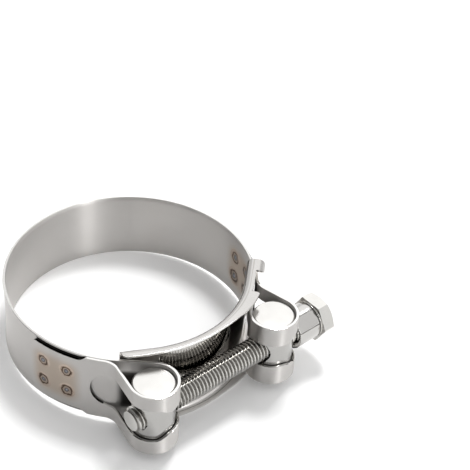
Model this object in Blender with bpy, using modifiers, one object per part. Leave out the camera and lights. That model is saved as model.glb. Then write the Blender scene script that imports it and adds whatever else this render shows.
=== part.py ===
"""Heavy duty T bolt clamp: a folded steel band with two trunnion loops, a flanged bridge and a long bolt.

The ring lies flat, its axis is Z, and the bolt runs along X at the front of the ring.
The origin is under the middle of the whole clamp, at the height of the bridge's lower flange.
"""

import math

import bmesh
import bpy
from mathutils import Matrix, Vector

MM = 0.001
OBJECT_NAME = "t_bolt_clamp"

# Clearances
PIECE_GAP = 0.3 * MM
TAIL_GAP = 0.15 * MM

# Band: one strip that makes the ring, both loops and both welded tails
SHEET = 0.8 * MM
BAND_WIDTH = 22.8 * MM
RING_INNER_RADIUS = 37.75 * MM
LIP_FLARE = 0.35 * MM
LIP_WIDTH = 1.2 * MM
LIP_START_ANGLE = 147.5
LIP_FULL_ANGLE = 150.5
LOOP_LEG_LEAN = 12.0
TAIL_FILLET = 6.0 * MM
TAIL_WIDTH = 20.0 * MM
TAIL_STEP_ANGLE = 146.9
TAIL_STEP_LENGTH = 2.2 * MM
TAIL_END_ANGLE = 176.0
TAIL_CORNER_LENGTH = 2.4 * MM
TAIL_CORNER_WIDTH = 6.0 * MM
SLOT_TAIL_ANGLE = 145.3
SLOT_LOOP_ANGLE = 40.0
SLOT_WIDEN_FROM = -80.0
SLOT_WIDEN_TO = -125.0

# Spot welds that hold each tail to the ring
WELD_ANGLES = (157.3, 169.5)
WELD_HEIGHT = 4.1 * MM
WELD_DIAMETER = 3.3 * MM
WELD_BITE = 0.3

# Trunnions: the cross pins that sit in the loops
LOOP_STANDOFF = 1.3 * MM
TRUNNION_DIAMETER = 13.0 * MM
TRUNNION_RECESS = 0.9 * MM
TRUNNION_CHAMFER = 0.5 * MM
PLAIN_BORE = 9.2 * MM

# Bolt, with its tip on the side of the threaded trunnion
BOLT_DIAMETER = 8.0 * MM
BOLT_PITCH = 1.25 * MM
THREAD_DEPTH_SHARE = 0.6134
THREAD_CREST_SHARE = 0.125
THREAD_ROOT_SHARE = 0.5625
BOLT_TO_BRIDGE = 0.2 * MM
BOLT_TIP_CHAMFER = 0.9 * MM
TIP_BEYOND_TRUNNION = 1.95 * MM
PLAIN_SHANK = 14.5 * MM
CREST_PLAY = 0.03 * MM
HEAD_SIDES = 6
HEAD_ACROSS_FLATS = 13.0 * MM
HEAD_HEIGHT = 5.0 * MM
HEAD_CHAMFER_ANGLE = 30.0
WASHER_FACE_DIAMETER = 12.0 * MM
WASHER_FACE_HEIGHT = 0.4 * MM

# Spacer sleeve, rolled from strip so that a seam runs down it
SLEEVE_LENGTH = 8.15 * MM
SLEEVE_DIAMETER = 11.9 * MM
SLEEVE_BORE = 8.8 * MM
SEAM_WIDTH = 0.15 * MM
SEAM_ANGLE = 157.0

# Bridge: the flanged plate that closes the ring under the bolt
BRIDGE_SET_IN = 1.45 * MM
BRIDGE_CENTRE_Y = -0.9 * MM
BRIDGE_LEFT_END = -134.0
BRIDGE_RIGHT_END = -30.3
BRIDGE_OVERHANG = 3.0 * MM
BRIDGE_BEND_RADIUS = 2.2 * MM
BRIDGE_CORNER = 3.0 * MM
FLANGE_NARROW = 3.2 * MM
FLANGE_LEFT = 3.9 * MM
FLANGE_LEFT_FROM = -96.0
FLANGE_LEFT_CURVE = 1.5
FLANGE_RIGHT = 5.6 * MM
FLANGE_RIGHT_FROM = -86.0
NOTCH_FROM = -54.0
NOTCH_CORNER = 0.5 * MM
EAR_FROM = -38.6
EAR_REACH = 5.5 * MM
EAR_CURL_RADIUS = 1.8 * MM
EAR_CURL_ANGLE = 70.0
EAR_CORNER = 1.0 * MM

# Facets: the steps are angles in degrees
RING_STEP = 6.0
TAIL_STEP = 3.0
LOOP_STEP = 12.0
BRIDGE_STEP = 4.5
INNER_LEG_FACETS = 2
OUTER_LEG_FACETS = 3
FILLET_FACETS = 5
BRIDGE_END_FACETS = 3
CORNER_FACETS = 5
BEND_FACETS = 3
LIP_FACETS = 2
CURL_FACETS = 3
ROUND_FACETS = 32
THREAD_FACETS = 12
WELD_FACETS = 12
LEAST_SPACING = 0.3 * MM
MERGE_DISTANCE = 0.001 * MM

# Sizes that follow from the ones above
HALF_SHEET = SHEET / 2
RING_RADIUS = RING_INNER_RADIUS + HALF_SHEET
TAIL_RADIUS = RING_RADIUS + SHEET + TAIL_GAP
LOOP_RADIUS = TRUNNION_DIAMETER / 2 + PIECE_GAP + HALF_SHEET
SLOT_NARROW = BOLT_DIAMETER / 2 + PIECE_GAP
SLOT_WIDE = SLEEVE_DIAMETER / 2 + PIECE_GAP
BRIDGE_OUTER_RADIUS = RING_INNER_RADIUS - BRIDGE_SET_IN + BRIDGE_CENTRE_Y
BRIDGE_RADIUS = BRIDGE_OUTER_RADIUS - HALF_SHEET
TRUNNION_Y = BRIDGE_CENTRE_Y - BRIDGE_OUTER_RADIUS - BOLT_TO_BRIDGE - BOLT_DIAMETER / 2
TRUNNION_X = math.sqrt((RING_RADIUS + LOOP_RADIUS + LOOP_STANDOFF) ** 2 - TRUNNION_Y**2)
LOOP_CENTRE = Vector((-TRUNNION_X, TRUNNION_Y))
MIDDLE_Z = BRIDGE_OVERHANG + BAND_WIDTH / 2
TRUNNION_LENGTH = BAND_WIDTH - 2 * TRUNNION_RECESS
THREADED_BORE = BOLT_DIAMETER + 2 * PIECE_GAP
SLEEVE_X = TRUNNION_X + TRUNNION_DIAMETER / 2 + PIECE_GAP
HEAD_X = SLEEVE_X + SLEEVE_LENGTH + PIECE_GAP
TIP_X = -TRUNNION_X - TRUNNION_DIAMETER / 2 - TIP_BEYOND_TRUNNION
BOLT_LENGTH = HEAD_X - TIP_X
BEND_RADIUS = BRIDGE_BEND_RADIUS - HALF_SHEET
EAR_FLAT = EAR_REACH - SHEET - EAR_CURL_RADIUS + HALF_SHEET - BEND_RADIUS
WEB_HALF_HEIGHT = BAND_WIDTH / 2 + BRIDGE_OVERHANG - BRIDGE_BEND_RADIUS
RIGHT_SIDE = HEAD_X + HEAD_HEIGHT
LEFT_SIDE = -TAIL_RADIUS - HALF_SHEET
FRONT_SIDE = TRUNNION_Y - LOOP_RADIUS - HALF_SHEET
BACK_SIDE = RING_RADIUS + HALF_SHEET + LIP_FLARE
ORIGIN = Vector((-(LEFT_SIDE + RIGHT_SIDE) / 2, -(FRONT_SIDE + BACK_SIDE) / 2, 0))


def clear_scene():
    for obj in list(bpy.data.objects):
        bpy.data.objects.remove(obj, do_unlink=True)


def new_collection(name):
    collection = bpy.data.collections.new(name)
    bpy.context.scene.collection.children.link(collection)
    return collection


def steel(name, roughness, tint):
    material = bpy.data.materials.new(name)
    material.use_nodes = True
    shader = material.node_tree.nodes["Principled BSDF"]
    shader.inputs["Base Color"].default_value = (*tint, 1)
    shader.inputs["Metallic"].default_value = 1
    shader.inputs["Roughness"].default_value = roughness
    return material


def new_object(name, mesh, collection, location=(0, 0, 0)):
    obj = bpy.data.objects.new(name, mesh)
    obj.location = location
    collection.objects.link(obj)
    if collection is CUTTERS:
        obj.hide_render = True
        obj.display_type = "WIRE"
    return obj


def from_points(name, points, edges=(), faces=()):
    mesh = bpy.data.meshes.new(name)
    mesh.from_pydata([tuple(point) for point in points], list(edges), list(faces))
    mesh.update()
    return mesh


def boolean(obj, operation, other):
    modifier = obj.modifiers.new(operation.lower(), "BOOLEAN")
    modifier.operation = operation
    modifier.solver = "EXACT"
    modifier.object = other
    return modifier


def shade(obj, sharp_angle=30.0):
    for polygon in obj.data.polygons:
        polygon.use_smooth = True
    obj.data.set_sharp_from_angle(angle=math.radians(sharp_angle))


def placed(x, y, z):
    return ORIGIN + Vector((x, y, z))


def smooth_step(value):
    value = min(max(value, 0.0), 1.0)
    return value * value * (3 - 2 * value)


def quarter_round(distance, length):
    """0 at the end of a rounded corner, 1 from its other end on."""
    missing = 1 - min(max(distance / length, 0.0), 1.0)
    return math.sqrt(1 - missing * missing)


def corner_distances(length):
    """Distances from the end of a rounded corner that give even facets round it."""
    turns = [math.pi / 2 * count / CORNER_FACETS for count in range(CORNER_FACETS + 1)]
    return [length * (1 - math.cos(turn)) for turn in turns]


def arc_piece(centre, radius, start, end):
    """Part of a path, from one angle to another. The normal points to the right of the way along it."""
    sense = math.copysign(1, end - start)

    def at(distance):
        angle = math.radians(start) + sense * distance / radius
        out = Vector((math.cos(angle), math.sin(angle)))
        return centre + radius * out, sense * out

    return radius * abs(math.radians(end - start)), at


def line_piece(start, end):
    way = (end - start).normalized()

    def at(distance):
        return start + way * distance, Vector((way.y, -way.x))

    return (end - start).length, at


def on_path(pieces, distance):
    for length, at in pieces[:-1]:
        if distance <= length:
            return at(distance)
        distance -= length
    return pieces[-1][1](distance)


def stations(pieces, counts, features):
    """Even distances along each piece of the path, and the features, without near neighbours."""
    found = sorted(set(features))
    begin = 0.0
    even = []
    for (length, _), count in zip(pieces, counts):
        even += [begin + length * step / count for step in range(count)]
        begin += length
    even.append(begin)
    apart = [value for value in even if all(abs(value - other) > LEAST_SPACING for other in found)]
    return sorted(found + apart)


def sheet(name, rows):
    """A grid of faces through equally long rows of points."""
    width = len(rows[0])
    points = [point for row in rows for point in row]
    faces = []
    for row in range(len(rows) - 1):
        for column in range(width - 1):
            corner = row * width + column
            faces.append((corner, corner + 1, corner + width + 1, corner + width))
    return from_points(name, points, faces=faces)


def thicken(obj, thickness):
    modifier = obj.modifiers.new("thickness", "SOLIDIFY")
    modifier.thickness = thickness
    modifier.offset = 0
    modifier.use_even_offset = True


def mirror(obj, axes):
    modifier = obj.modifiers.new("mirror", "MIRROR")
    modifier.use_axis = axes
    modifier.merge_threshold = MERGE_DISTANCE


def turned(name, profile, collection, facets=ROUND_FACETS, location=(0, 0, 0)):
    """A solid of revolution about its own Z. The profile holds (radius, height) and starts at the top."""
    points = [(radius, 0, height) for radius, height in profile]
    edges = [(index, index + 1) for index in range(len(points) - 1)]
    obj = new_object(name, from_points(name, points, edges), collection, location)
    modifier = obj.modifiers.new("turn", "SCREW")
    modifier.steps = facets
    modifier.render_steps = facets
    modifier.use_merge_vertices = True
    modifier.merge_threshold = MERGE_DISTANCE
    modifier.use_smooth_shade = True
    return obj


def along_x(obj):
    """Turns the object's own Z to world X."""
    obj.rotation_euler = (0, math.radians(90), 0)


# Band


def band_pieces():
    """The middle line of the strip: half the ring, the inner leg, the loop, the outer leg and the tail."""
    centre = Vector((0, 0))
    to_loop = math.atan2(LOOP_CENTRE.y, LOOP_CENTRE.x)
    spread = math.acos((RING_RADIUS + LOOP_RADIUS) / LOOP_CENTRE.length)
    leave = to_loop - spread
    leave_way = Vector((math.cos(leave), math.sin(leave)))
    leg_side = Vector((-math.cos(math.radians(LOOP_LEG_LEAN)), math.sin(math.radians(LOOP_LEG_LEAN))))
    leg_way = Vector((leg_side.y, -leg_side.x))
    loop_end = math.degrees(math.atan2(leg_side.y, leg_side.x)) - 360
    leg_start = LOOP_CENTRE + LOOP_RADIUS * leg_side
    beside = LOOP_CENTRE + (LOOP_RADIUS + TAIL_FILLET) * leg_side
    reach = TAIL_RADIUS + TAIL_FILLET
    half = beside.dot(leg_way)
    rise = -half - math.sqrt(half * half - beside.length_squared + reach * reach)
    fillet_centre = beside + rise * leg_way
    merge = math.degrees(math.atan2(fillet_centre.y, fillet_centre.x))
    fillet_start = math.degrees(math.atan2(-leg_side.y, -leg_side.x))
    ring_end = math.degrees(leave) + 360
    pieces = [
        arc_piece(centre, RING_RADIUS, 90, ring_end),
        line_piece(RING_RADIUS * leave_way, LOOP_CENTRE - LOOP_RADIUS * leave_way),
        arc_piece(LOOP_CENTRE, LOOP_RADIUS, ring_end - 180, loop_end),
        line_piece(leg_start, leg_start + rise * leg_way),
        arc_piece(fillet_centre, TAIL_FILLET, fillet_start, merge + 180),
        arc_piece(centre, TAIL_RADIUS, merge, -TAIL_END_ANGLE),
    ]
    return pieces, ring_end, merge


def band_sheet():
    """One quarter of the strip, with the slot's edge, the side edge and the lip in its rows."""
    pieces, ring_end, merge = band_pieces()
    lengths = [piece[0] for piece in pieces]
    loop_begin = lengths[0] + lengths[1]
    tail_begin = sum(lengths[:5])
    end = sum(lengths)

    def on_ring(angle):
        return RING_RADIUS * math.radians(270 - angle)

    def on_loop(angle):
        return loop_begin + LOOP_RADIUS * math.radians(ring_end - 180 - angle)

    def on_tail(angle):
        return tail_begin + TAIL_RADIUS * math.radians(angle + merge)

    slot_from = on_loop(SLOT_LOOP_ANGLE)
    slot_to = on_tail(SLOT_TAIL_ANGLE)
    widen_from = on_loop(SLOT_WIDEN_FROM)
    widen_to = on_loop(SLOT_WIDEN_TO)
    step_from = on_tail(TAIL_STEP_ANGLE)
    step_to = step_from + TAIL_STEP_LENGTH

    def slot(distance):
        if not slot_from < distance < slot_to:
            return 0.0
        widening = smooth_step((distance - widen_from) / (widen_to - widen_from))
        half = SLOT_NARROW + (SLOT_WIDE - SLOT_NARROW) * widening
        start = quarter_round(distance - slot_from, SLOT_NARROW)
        return half * start * quarter_round(slot_to - distance, SLOT_WIDE)

    def half_width(distance):
        step = min(max((distance - step_from) / TAIL_STEP_LENGTH, 0.0), 1.0)
        half = BAND_WIDTH / 2 + (TAIL_WIDTH - BAND_WIDTH) / 2 * step
        corner = quarter_round(end - distance, TAIL_CORNER_LENGTH)
        return half - TAIL_CORNER_WIDTH * (1 - corner)

    def flare(distance):
        rise = (on_ring(LIP_START_ANGLE) - distance) / (on_ring(LIP_START_ANGLE) - on_ring(LIP_FULL_ANGLE))
        return LIP_FLARE * smooth_step(rise)

    features = [on_ring(LIP_START_ANGLE), on_ring(LIP_FULL_ANGLE), step_from, step_to]
    features += [slot_from + distance for distance in corner_distances(SLOT_NARROW)]
    features += [slot_to - distance for distance in corner_distances(SLOT_WIDE)]
    features += [end - distance for distance in corner_distances(TAIL_CORNER_LENGTH)]
    ring_count = round((ring_end - 90) / RING_STEP)
    loop_count = round((ring_end + LOOP_LEG_LEAN) / LOOP_STEP)
    tail_count = round((TAIL_END_ANGLE + merge) / TAIL_STEP)
    counts = [ring_count, INNER_LEG_FACETS, loop_count, OUTER_LEG_FACETS, FILLET_FACETS, tail_count]
    rows = []
    for distance in stations(pieces, counts, features):
        point, normal = on_path(pieces, distance)
        row = [(point.x, point.y, slot(distance))]
        for step in range(LIP_FACETS + 1):
            inward = 1 - step / LIP_FACETS
            side = point + normal * flare(distance) * (1 - inward) ** 2
            row.append((side.x, side.y, half_width(distance) - LIP_WIDTH * inward))
        rows.append(row)
    rows[0] = [(0.0, y, z) for _, y, z in rows[0]]
    return sheet("band", rows)


def weld_nuggets():
    """The eight spots of weld metal, each ending inside the sheets that it joins."""
    nuggets = bmesh.new()
    inner = RING_RADIUS - HALF_SHEET + SHEET * WELD_BITE
    outer = TAIL_RADIUS + HALF_SHEET - SHEET * WELD_BITE
    for angle in WELD_ANGLES:
        for side in (angle, 180 - angle):
            turn = math.radians(-side)
            for height in (WELD_HEIGHT, -WELD_HEIGHT):
                middle = (inner + outer) / 2
                place = Matrix.Translation((middle * math.cos(turn), middle * math.sin(turn), height))
                lay = Matrix.Rotation(turn, 4, "Z") @ Matrix.Rotation(math.radians(90), 4, "Y")
                bmesh.ops.create_cone(
                    nuggets,
                    cap_ends=True,
                    segments=WELD_FACETS,
                    radius1=WELD_DIAMETER / 2,
                    radius2=WELD_DIAMETER / 2,
                    depth=outer - inner,
                    matrix=place @ lay,
                )
    mesh = bpy.data.meshes.new("weld_nuggets")
    nuggets.to_mesh(mesh)
    nuggets.free()
    return new_object("weld_nuggets", mesh, CUTTERS, placed(0, 0, MIDDLE_Z))


def make_band():
    band = new_object("band", band_sheet(), PARTS, placed(0, 0, MIDDLE_Z))
    mirror(band, (True, False, True))
    thicken(band, SHEET)
    boolean(band, "UNION", weld_nuggets())
    return band


# Bridge


def straight_turn(end_angle):
    """Degrees before its end at which the web leaves its arc, so that the end meets the ring's inside."""
    way = Vector((math.cos(math.radians(end_angle)), math.sin(math.radians(end_angle))))
    across = BRIDGE_CENTRE_Y * way.y
    limit = RING_INNER_RADIUS - PIECE_GAP
    reach = -across + math.sqrt(across * across - BRIDGE_CENTRE_Y**2 + limit * limit)
    return math.degrees(math.acos(BRIDGE_OUTER_RADIUS / reach))


BRIDGE_LEFT_STRAIGHT = BRIDGE_LEFT_END + straight_turn(BRIDGE_LEFT_END)
BRIDGE_RIGHT_STRAIGHT = BRIDGE_RIGHT_END - straight_turn(BRIDGE_RIGHT_END)


def bridge_pieces():
    """The middle line of the web: two straight ends with an arc between them."""
    centre = Vector((0, BRIDGE_CENTRE_Y))
    begin = math.radians(BRIDGE_LEFT_STRAIGHT)
    finish = math.radians(BRIDGE_RIGHT_STRAIGHT)
    left = centre + BRIDGE_RADIUS * Vector((math.cos(begin), math.sin(begin)))
    right = centre + BRIDGE_RADIUS * Vector((math.cos(finish), math.sin(finish)))
    left_way = Vector((math.sin(begin), -math.cos(begin)))
    right_way = Vector((-math.sin(finish), math.cos(finish)))
    left_length = BRIDGE_RADIUS * math.tan(math.radians(BRIDGE_LEFT_STRAIGHT - BRIDGE_LEFT_END))
    right_length = BRIDGE_RADIUS * math.tan(math.radians(BRIDGE_RIGHT_END - BRIDGE_RIGHT_STRAIGHT))
    return [
        line_piece(left + left_way * left_length, left),
        arc_piece(centre, BRIDGE_RADIUS, BRIDGE_LEFT_STRAIGHT, BRIDGE_RIGHT_STRAIGHT),
        line_piece(right, right + right_way * right_length),
    ]


def bridge_section(length, ear):
    """Reach outward and height of a point, by its distance from the middle along the bent section."""
    if length <= WEB_HALF_HEIGHT:
        return 0.0, length
    length -= WEB_HALF_HEIGHT
    bend = BEND_RADIUS * math.pi / 2
    if length <= bend:
        angle = length / BEND_RADIUS
        return BEND_RADIUS * (1 - math.cos(angle)), WEB_HALF_HEIGHT + BEND_RADIUS * math.sin(angle)
    length -= bend
    top = WEB_HALF_HEIGHT + BEND_RADIUS
    if not ear or length <= EAR_FLAT:
        return BEND_RADIUS + length, top
    angle = (length - EAR_FLAT) / EAR_CURL_RADIUS
    reach = BEND_RADIUS + EAR_FLAT + EAR_CURL_RADIUS * math.sin(angle)
    return reach, top - EAR_CURL_RADIUS * (1 - math.cos(angle))


def bridge_sheet():
    """The upper half of the bridge, from its middle line to the edge of the flange."""
    pieces = bridge_pieces()
    left_length = pieces[0][0]
    end = sum(piece[0] for piece in pieces)

    def at_angle(angle):
        return left_length + BRIDGE_RADIUS * math.radians(angle - BRIDGE_LEFT_STRAIGHT)

    bend_end = WEB_HALF_HEIGHT + BEND_RADIUS * math.pi / 2
    narrow = FLANGE_NARROW - HALF_SHEET - BEND_RADIUS
    ear_length = EAR_FLAT + EAR_CURL_RADIUS * math.radians(EAR_CURL_ANGLE)
    left_from = at_angle(FLANGE_LEFT_FROM)
    right_from = at_angle(FLANGE_RIGHT_FROM)
    notch_from = at_angle(NOTCH_FROM)
    ear_from = at_angle(EAR_FROM)
    middle_of_notch = (notch_from + ear_from) / 2

    def flange(distance):
        if distance < left_from:
            share = ((left_from - distance) / left_from) ** FLANGE_LEFT_CURVE
            return narrow + (FLANGE_LEFT - FLANGE_NARROW) * share * quarter_round(distance, BRIDGE_CORNER)
        if right_from < distance <= notch_from:
            share = smooth_step((distance - right_from) / (notch_from - right_from))
            share *= quarter_round(notch_from - distance, NOTCH_CORNER)
            return narrow + (FLANGE_RIGHT - FLANGE_NARROW) * share
        if distance > ear_from:
            share = quarter_round(distance - ear_from, EAR_CORNER)
            share *= quarter_round(end - distance, EAR_CORNER)
            return narrow + (ear_length - narrow) * share
        return narrow

    def end_trim(distance):
        """How far the edge is cut back by the rounded corner of the left end."""
        return BRIDGE_CORNER * (1 - quarter_round(distance, BRIDGE_CORNER))

    features = [left_from, right_from, middle_of_notch]
    features += corner_distances(BRIDGE_CORNER)
    features += [notch_from - distance for distance in corner_distances(NOTCH_CORNER)]
    for distance in corner_distances(EAR_CORNER):
        features += [ear_from + distance, end - distance]
    arc_count = round((BRIDGE_RIGHT_STRAIGHT - BRIDGE_LEFT_STRAIGHT) / BRIDGE_STEP)
    rows = []
    counts = [BRIDGE_END_FACETS, arc_count, BRIDGE_END_FACETS]
    for distance in stations(pieces, counts, features):
        point, normal = on_path(pieces, distance)
        width = flange(distance)
        in_ear = distance > middle_of_notch
        lengths = [0.0]
        for step in range(BEND_FACETS + 1):
            lengths.append(WEB_HALF_HEIGHT + (bend_end - WEB_HALF_HEIGHT) * step / BEND_FACETS)
        if width > EAR_FLAT and in_ear:
            curl = width - EAR_FLAT
            lengths += [bend_end + EAR_FLAT + curl * step / CURL_FACETS for step in range(CURL_FACETS + 1)]
        else:
            steps = CURL_FACETS + 1
            lengths += [bend_end + width * step / steps for step in range(1, steps + 1)]
        scale = 1 - end_trim(distance) / (bend_end + narrow)
        row = []
        for length in lengths:
            reach, height = bridge_section(length * scale, in_ear)
            place = point + normal * reach
            row.append((place.x, place.y, height))
        rows.append(row)
    return sheet("bridge", rows)


def make_bridge():
    bridge = new_object("bridge", bridge_sheet(), PARTS, placed(0, 0, MIDDLE_Z))
    mirror(bridge, (False, False, True))
    thicken(bridge, SHEET)
    return bridge


# Trunnions


def make_trunnion(name, x, bore):
    """A cross pin that stands on its own axis, drilled across for the bolt."""
    half = TRUNNION_LENGTH / 2
    radius = TRUNNION_DIAMETER / 2
    profile = [
        (0, half),
        (radius - TRUNNION_CHAMFER, half),
        (radius, half - TRUNNION_CHAMFER),
        (radius, -half + TRUNNION_CHAMFER),
        (radius - TRUNNION_CHAMFER, -half),
        (0, -half),
    ]
    place = placed(x, TRUNNION_Y, MIDDLE_Z)
    pin = turned(name, profile, PARTS, location=place)
    depth = TRUNNION_DIAMETER
    drill_profile = [(0, depth), (bore / 2, depth), (bore / 2, -depth), (0, -depth)]
    drill = turned(name + "_drill", drill_profile, CUTTERS, location=place)
    along_x(drill)
    boolean(pin, "DIFFERENCE", drill)
    return pin


# Spacer sleeve


def make_sleeve():
    """A rolled tube round the bolt. Its own Z is the bolt's axis and its origin the end at the trunnion."""
    radius = (SLEEVE_DIAMETER + SLEEVE_BORE) / 4
    half_gap = math.degrees(SEAM_WIDTH / 2 / radius)
    sweep = 360 - 2 * half_gap
    rows = []
    for step in range(ROUND_FACETS + 1):
        angle = math.radians(half_gap + sweep * step / ROUND_FACETS)
        x = radius * math.cos(angle)
        y = radius * math.sin(angle)
        rows.append([(x, y, 0), (x, y, SLEEVE_LENGTH)])
    place = placed(SLEEVE_X, TRUNNION_Y, MIDDLE_Z)
    sleeve = new_object("spacer_sleeve", sheet("spacer_sleeve", rows), PARTS, place)
    sleeve.matrix_world = (
        Matrix.Translation(place)
        @ Matrix.Rotation(math.radians(SEAM_ANGLE), 4, "X")
        @ Matrix.Rotation(math.radians(90), 4, "Y")
        @ Matrix.Rotation(math.radians(90), 4, "Z")
    )
    thicken(sleeve, (SLEEVE_DIAMETER - SLEEVE_BORE) / 2)
    return sleeve


# Bolt


def threaded_rod():
    """A rod with a right-hand thread, a little longer at both ends than the bolt needs."""
    crest = BOLT_DIAMETER / 2 - CREST_PLAY
    root = BOLT_DIAMETER / 2 - THREAD_DEPTH_SHARE * BOLT_PITCH
    crest_end = BOLT_PITCH * THREAD_CREST_SHARE
    root_start = BOLT_PITCH * THREAD_ROOT_SHARE
    section = [(0.0, crest), (crest_end, crest), (root_start, root)]
    lowest = -BOLT_LENGTH - 2 * BOLT_PITCH
    turns = math.ceil((-PLAIN_SHANK + 2 * BOLT_PITCH - lowest) / BOLT_PITCH)
    total = turns * THREAD_FACETS
    rod = bmesh.new()

    def corner(step, place):
        height, radius = section[place]
        angle = 2 * math.pi * step / THREAD_FACETS
        rise = lowest + BOLT_PITCH * step / THREAD_FACETS + height
        return rod.verts.new((radius * math.cos(angle), radius * math.sin(angle), rise))

    grid = [[corner(step, place) for place in range(len(section))] for step in range(total)]
    last_turn = [corner(step, 0) for step in range(total, total + THREAD_FACETS + 1)]
    closing = [corner(total, place) for place in range(1, len(section))]
    starts = [line[0] for line in grid] + last_turn
    lines = [line[1:] for line in grid] + [closing]
    for step in range(total):
        here = [starts[step], *lines[step], starts[step + THREAD_FACETS]]
        there = [starts[step + 1], *lines[step + 1], starts[step + 1 + THREAD_FACETS]]
        for place in range(len(section)):
            rod.faces.new((here[place], there[place], there[place + 1], here[place + 1]))
    low = rod.verts.new((0, 0, lowest))
    high = rod.verts.new((0, 0, lowest + BOLT_PITCH * (turns + 1)))
    for step in range(THREAD_FACETS):
        rod.faces.new((low, starts[step + 1], starts[step]))
        rod.faces.new((high, starts[total + step], starts[total + step + 1]))
    rod.faces.new((low, starts[0], *lines[0], starts[THREAD_FACETS]))
    rod.faces.new((high, starts[total + THREAD_FACETS], *reversed(lines[total]), starts[total]))
    mesh = bpy.data.meshes.new("bolt")
    rod.to_mesh(mesh)
    rod.free()
    return mesh


def make_bolt():
    """The bolt about its own Z, with the underside of its head at the origin."""
    place = placed(HEAD_X, TRUNNION_Y, MIDDLE_Z)
    radius = BOLT_DIAMETER / 2
    flat = HEAD_ACROSS_FLATS / 2
    point = flat / math.cos(math.pi / HEAD_SIDES)
    clear = radius + PIECE_GAP
    top = WASHER_FACE_DIAMETER / 2
    chamfer = (point + PIECE_GAP - top) * math.tan(math.radians(HEAD_CHAMFER_ANGLE))
    outline = [
        (0, -PLAIN_SHANK),
        (clear, -PLAIN_SHANK),
        (clear, -BOLT_LENGTH + BOLT_TIP_CHAMFER + PIECE_GAP),
        (radius - BOLT_TIP_CHAMFER, -BOLT_LENGTH),
        (0, -BOLT_LENGTH),
    ]
    blank = turned("bolt_outline", outline, CUTTERS, location=place)
    head = [
        (0, HEAD_HEIGHT),
        (top, HEAD_HEIGHT),
        (point + PIECE_GAP, HEAD_HEIGHT - chamfer),
        (point + PIECE_GAP, WASHER_FACE_HEIGHT),
        (top, WASHER_FACE_HEIGHT),
        (top, 0),
        (radius, 0),
        (radius, -PLAIN_SHANK - BOLT_PITCH / 2),
        (0, -PLAIN_SHANK - BOLT_PITCH / 2),
    ]
    head_body = turned("bolt_head", head, CUTTERS, location=place)
    hexagon = bmesh.new()
    bmesh.ops.create_cone(
        hexagon,
        cap_ends=True,
        segments=HEAD_SIDES,
        radius1=point,
        radius2=point,
        depth=BOLT_LENGTH,
    )
    hexagon_mesh = bpy.data.meshes.new("bolt_hexagon")
    hexagon.to_mesh(hexagon_mesh)
    hexagon.free()
    prism = new_object("bolt_hexagon", hexagon_mesh, CUTTERS, place)
    bolt = new_object("bolt", threaded_rod(), PARTS, place)
    for obj in (blank, head_body, prism, bolt):
        along_x(obj)
    boolean(head_body, "INTERSECT", prism)
    boolean(bolt, "INTERSECT", blank)
    boolean(bolt, "UNION", head_body)
    return bolt


clear_scene()
PARTS = new_collection(OBJECT_NAME)
CUTTERS = new_collection("cutters")
CUTTERS.hide_render = True

pieces_and_finish = [
    (make_band(), steel("band_steel", 0.22, (0.75, 0.74, 0.72))),
    (make_bridge(), steel("bridge_steel", 0.25, (0.72, 0.72, 0.71))),
    (make_trunnion("nut_trunnion", -TRUNNION_X, THREADED_BORE), steel("nut_steel", 0.3, (0.8, 0.8, 0.8))),
    (make_trunnion("plain_trunnion", TRUNNION_X, PLAIN_BORE), steel("pin_steel", 0.3, (0.8, 0.8, 0.8))),
    (make_sleeve(), steel("sleeve_steel", 0.28, (0.74, 0.73, 0.72))),
    (make_bolt(), steel("bolt_steel", 0.3, (0.7, 0.7, 0.69))),
]
for piece, finish in pieces_and_finish:
    piece.data.materials.append(finish)
    shade(piece)
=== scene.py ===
"""A heavy duty T bolt clamp in stainless steel, lying on a white table in soft studio light."""

import math

import bmesh
import bpy
from mathutils import Matrix, Vector


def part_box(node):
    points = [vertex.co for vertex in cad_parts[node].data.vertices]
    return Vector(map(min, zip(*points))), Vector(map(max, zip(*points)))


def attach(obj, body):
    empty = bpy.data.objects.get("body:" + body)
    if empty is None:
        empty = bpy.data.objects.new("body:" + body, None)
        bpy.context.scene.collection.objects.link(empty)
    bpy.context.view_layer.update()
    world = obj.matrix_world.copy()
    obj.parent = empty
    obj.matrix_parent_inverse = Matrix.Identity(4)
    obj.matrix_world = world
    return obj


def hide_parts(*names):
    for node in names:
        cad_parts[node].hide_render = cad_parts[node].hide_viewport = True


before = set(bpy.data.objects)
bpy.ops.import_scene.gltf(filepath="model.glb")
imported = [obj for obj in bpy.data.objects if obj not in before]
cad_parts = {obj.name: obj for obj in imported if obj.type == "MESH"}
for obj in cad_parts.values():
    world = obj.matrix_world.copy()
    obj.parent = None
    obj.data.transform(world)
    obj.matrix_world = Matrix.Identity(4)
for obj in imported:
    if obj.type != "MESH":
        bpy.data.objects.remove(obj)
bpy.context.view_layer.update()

# Band. One strip of stainless sheet is folded into the ring, the two loops and the two tails.
# Each tail is spot welded to the ring, the loops are slotted for the bolt, and the ring's edges
# are rolled outward into a narrow lip so that they don't cut the hose.

MM = 0.001

nut_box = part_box("nut_trunnion")
plain_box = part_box("plain_trunnion")
nut_centre = (Vector(nut_box[0]) + Vector(nut_box[1])) / 2
plain_centre = (Vector(plain_box[0]) + Vector(plain_box[1])) / 2
pin_diameter = plain_box[1][0] - plain_box[0][0]
trunnion_x = (plain_centre.x - nut_centre.x) / 2
trunnion_y = -40.5 * MM
ring_centre = Vector(((plain_centre.x + nut_centre.x) / 2, nut_centre.y - trunnion_y, nut_centre.z))

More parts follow.
